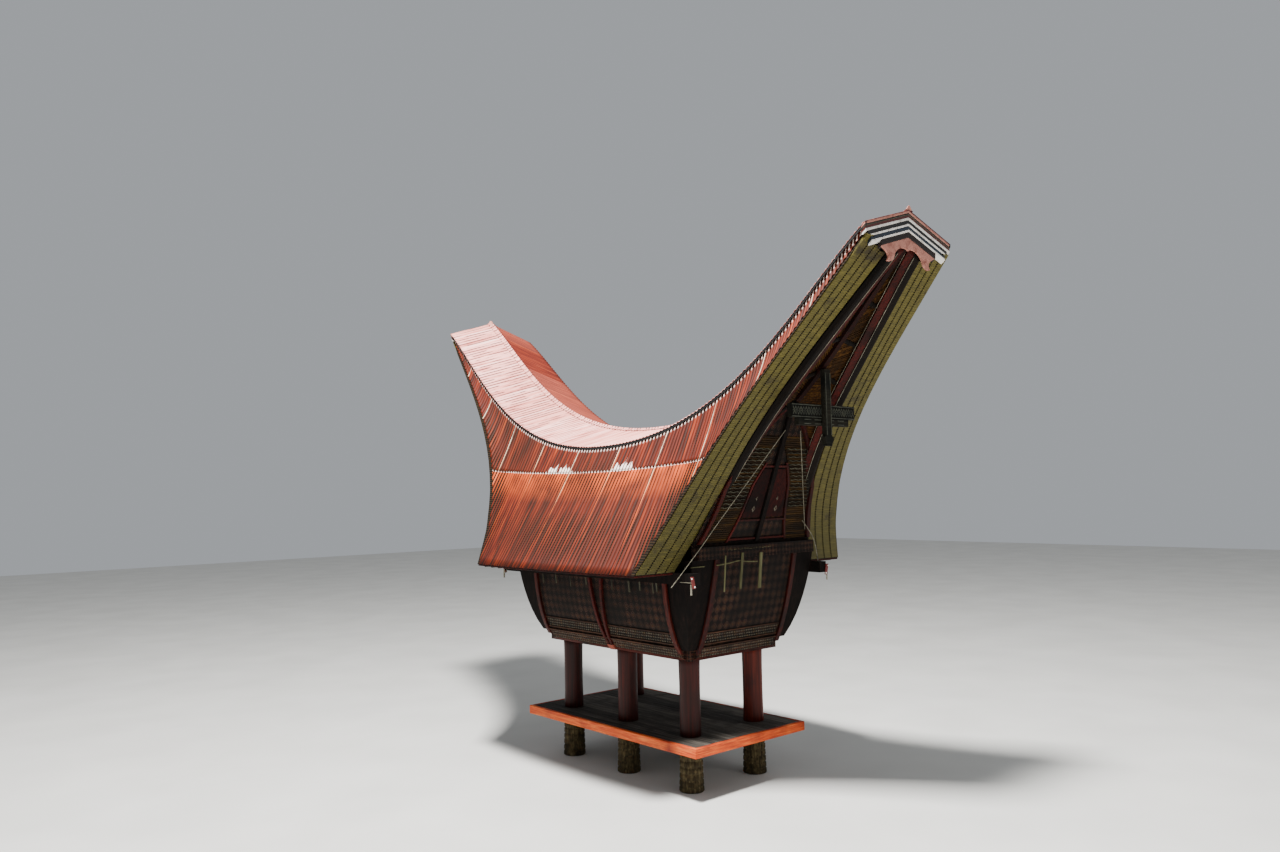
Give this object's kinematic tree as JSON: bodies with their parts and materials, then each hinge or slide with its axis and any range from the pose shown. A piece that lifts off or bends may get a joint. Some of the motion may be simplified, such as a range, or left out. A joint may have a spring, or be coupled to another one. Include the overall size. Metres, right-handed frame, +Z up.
{
  "type": "toraja rice barn of the tongkonan type",
  "caption": "Boat-roofed rice barn: round posts on piers carry a flared carved granary over a sitting platform, under an upswept bamboo and iron saddle roof.",
  "frame": {"origin": "on the ground, under the middle of the platform", "axes": "+Z up, +Y along the ridge from the front gable to the rear gable, +X to the right of someone who faces +Y"},
  "size_m": [4.6572, 10.02, 7.995],
  "materials": {
    "pier_stone": "rough grey-brown, with scratched marks",
    "red_post": "red oxide paint on a round trunk, worn",
    "orange_rim": "orange-red paint, faded",
    "grey_board": "weathered boards",
    "carved_wood": "carved and painted in red, yellow, white and black on soot-dark wood",
    "red_beam": "dark red paint",
    "bamboo": "split bamboo in layers, yellow-green",
    "roof_iron": "corrugated iron with faded red-brown paint and rust",
    "cap_iron": "iron ridge sheets with chalky pink-red paint",
    "tip_paint": "white, black and chalky pink stripes"
  },
  "bodies": {
    "root": {"pier_front_left": "pier_stone", "pier_front_right": "pier_stone", "pier_middle_left": "pier_stone", "pier_middle_right": "pier_stone", "pier_rear_left": "pier_stone", "pier_rear_right": "pier_stone", "post_front_left": "red_post", "post_front_right": "red_post", "post_middle_left": "red_post", "post_middle_right": "red_post", "post_rear_left": "red_post", "post_rear_right": "red_post", "platform_deck": "grey_board", "platform_rim_front": "orange_rim", "platform_rim_rear": "orange_rim", "platform_rim_left": "orange_rim", "platform_rim_right": "orange_rim", "sill_left": "carved_wood", "sill_right": "carved_wood", "sill_front": "carved_wood", "sill_rear": "carved_wood", "granary_floor": "grey_board", "wall_left": "carved_wood", "wall_right": "carved_wood", "wall_front": "carved_wood", "wall_rear": "carved_wood", "corner_post_front_left": "carved_wood", "corner_post_front_right": "carved_wood", "corner_post_rear_left": "carved_wood", "corner_post_rear_right": "carved_wood", "wall_plate_left": "red_beam", "wall_plate_right": "red_beam", "tie_beam_front": "carved_wood", "tie_beam_rear": "carved_wood", "roof_layers_left": "bamboo", "roof_layers_right": "bamboo", "roof_iron_left": "roof_iron", "roof_iron_right": "roof_iron", "bamboo_edge_front_left": "bamboo", "bamboo_edge_front_right": "bamboo", "bamboo_edge_rear_left": "bamboo", "bamboo_edge_rear_right": "bamboo", "ridge_cap": "cap_iron", "gable_front": "carved_wood", "gable_rear": "carved_wood", "ridge_beam_front": "red_beam", "ridge_beam_rear": "red_beam", "beak_crossbeam_front": "carved_wood", "beak_crossbeam_rear": "carved_wood", "beak_strut_front": "carved_wood", "beak_strut_rear": "carved_wood", "tip_board_front": "tip_paint", "tip_board_rear": "tip_paint"}
  },
  "joints": []
}
